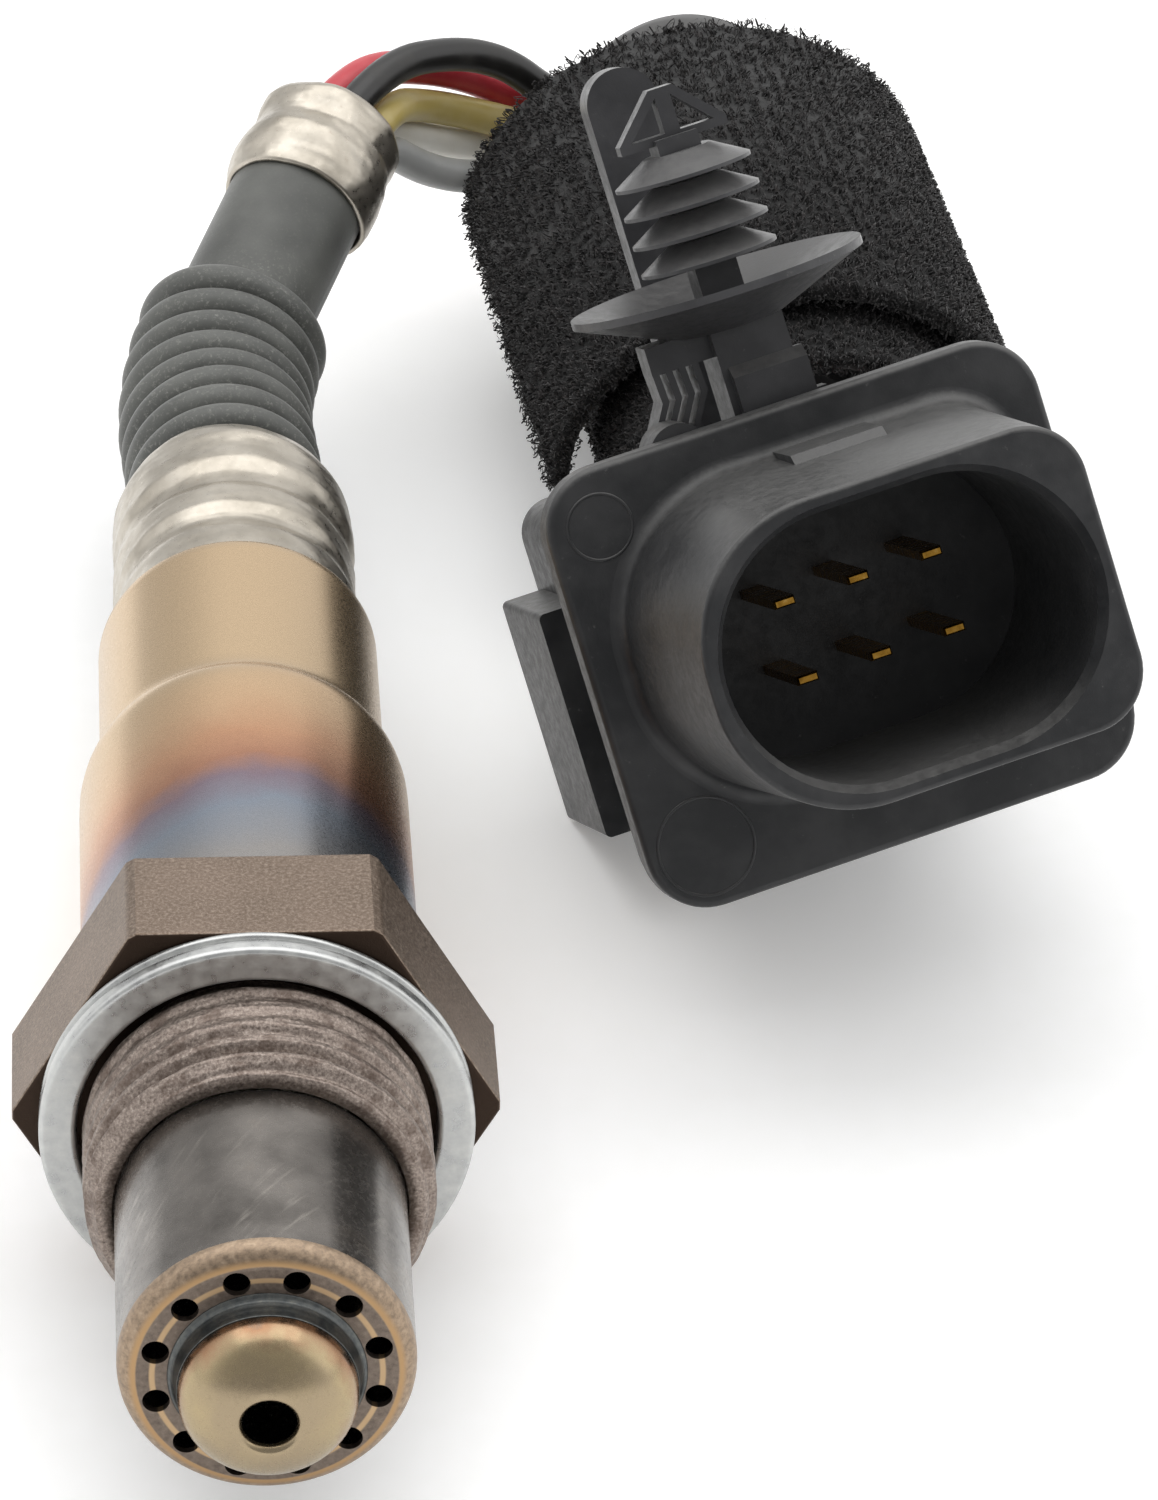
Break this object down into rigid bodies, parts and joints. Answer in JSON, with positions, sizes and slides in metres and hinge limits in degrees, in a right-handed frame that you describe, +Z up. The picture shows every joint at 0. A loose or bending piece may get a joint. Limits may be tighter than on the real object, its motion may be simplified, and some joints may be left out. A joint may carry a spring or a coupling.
{
  "type": "oxygen sensor",
  "caption": "Exhaust oxygen sensor with vented tip, hexagon body, heat-tinted sleeve, bellows hose, short coloured leads, rolled wrap and keyed plug with fir-tree clip.",
  "frame": {"origin": "on the sensor's axis, in the plane where the sealing washer meets the hexagon", "axes": "+Y along the sensor's axis towards its cable end, +Z up from the surface it lies on, +X to the connector's side"},
  "size_m": [0.0614, 0.1405, 0.0449],
  "materials": {
    "sensor_body": "matte oxide-toned plating with fine grain",
    "sealing_washer": "zinc-bright, satin",
    "outer_protection_tube": "dark grey, warm tinted, brushed",
    "inner_protection_tube": "golden heat tint, satin",
    "sensor_element": "matte zirconia",
    "lower_ceramic_bush": "matte steatite",
    "talc_seal": "pressed powder, matte",
    "upper_ceramic_bush": "matte steatite",
    "protective_sleeve": "brushed, heat tinted from tan to purple and blue near the hexagon",
    "contact_holder": "matte steatite",
    "contact_springs": "plated, satin",
    "seal_grommet": "matte",
    "crimp_collar": "satin with crimp dents",
    "bellows_hose": "soft sheen, mid grey",
    "hose_ferrule": "satin with crimp dents",
    "ferrule_plug": "matte",
    "wire_black": "soft satin insulation",
    "wire_red": "soft satin insulation",
    "wire_yellow": "soft satin insulation",
    "wire_white": "soft satin insulation",
    "wire_grey": "soft satin insulation",
    "harness_sheath": "smooth, dark grey",
    "harness_wrap": "black loop pile",
    "connector_housing": "fine matte moulding, charcoal",
    "connector_rear_cover": "fine matte moulding, charcoal",
    "wire_seals": "matte silicone",
    "contact_pins": "gold plated",
    "trim_resistor": "matte",
    "fir_tree_clip": "black nylon, satin sheen"
  },
  "bodies": {
    "root": {"sensor_body": "sensor_body", "sealing_washer": "sealing_washer", "outer_protection_tube": "outer_protection_tube", "inner_protection_tube": "inner_protection_tube", "sensor_element": "sensor_element", "lower_ceramic_bush": "lower_ceramic_bush", "talc_seal": "talc_seal", "upper_ceramic_bush": "upper_ceramic_bush", "protective_sleeve": "protective_sleeve", "contact_holder": "contact_holder", "contact_springs": "contact_springs", "seal_grommet": "seal_grommet", "crimp_collar": "crimp_collar", "bellows_hose": "bellows_hose", "hose_ferrule": "hose_ferrule", "ferrule_plug": "ferrule_plug", "wire_black": "wire_black", "wire_red": "wire_red", "wire_yellow": "wire_yellow", "wire_white": "wire_white", "wire_grey": "wire_grey", "harness_sheath": "harness_sheath", "harness_wrap": "harness_wrap", "connector_housing": "connector_housing", "connector_rear_cover": "connector_rear_cover", "wire_seals": "wire_seals", "contact_pins": "contact_pins", "trim_resistor": "trim_resistor", "fir_tree_clip": "fir_tree_clip"}
  },
  "joints": []
}
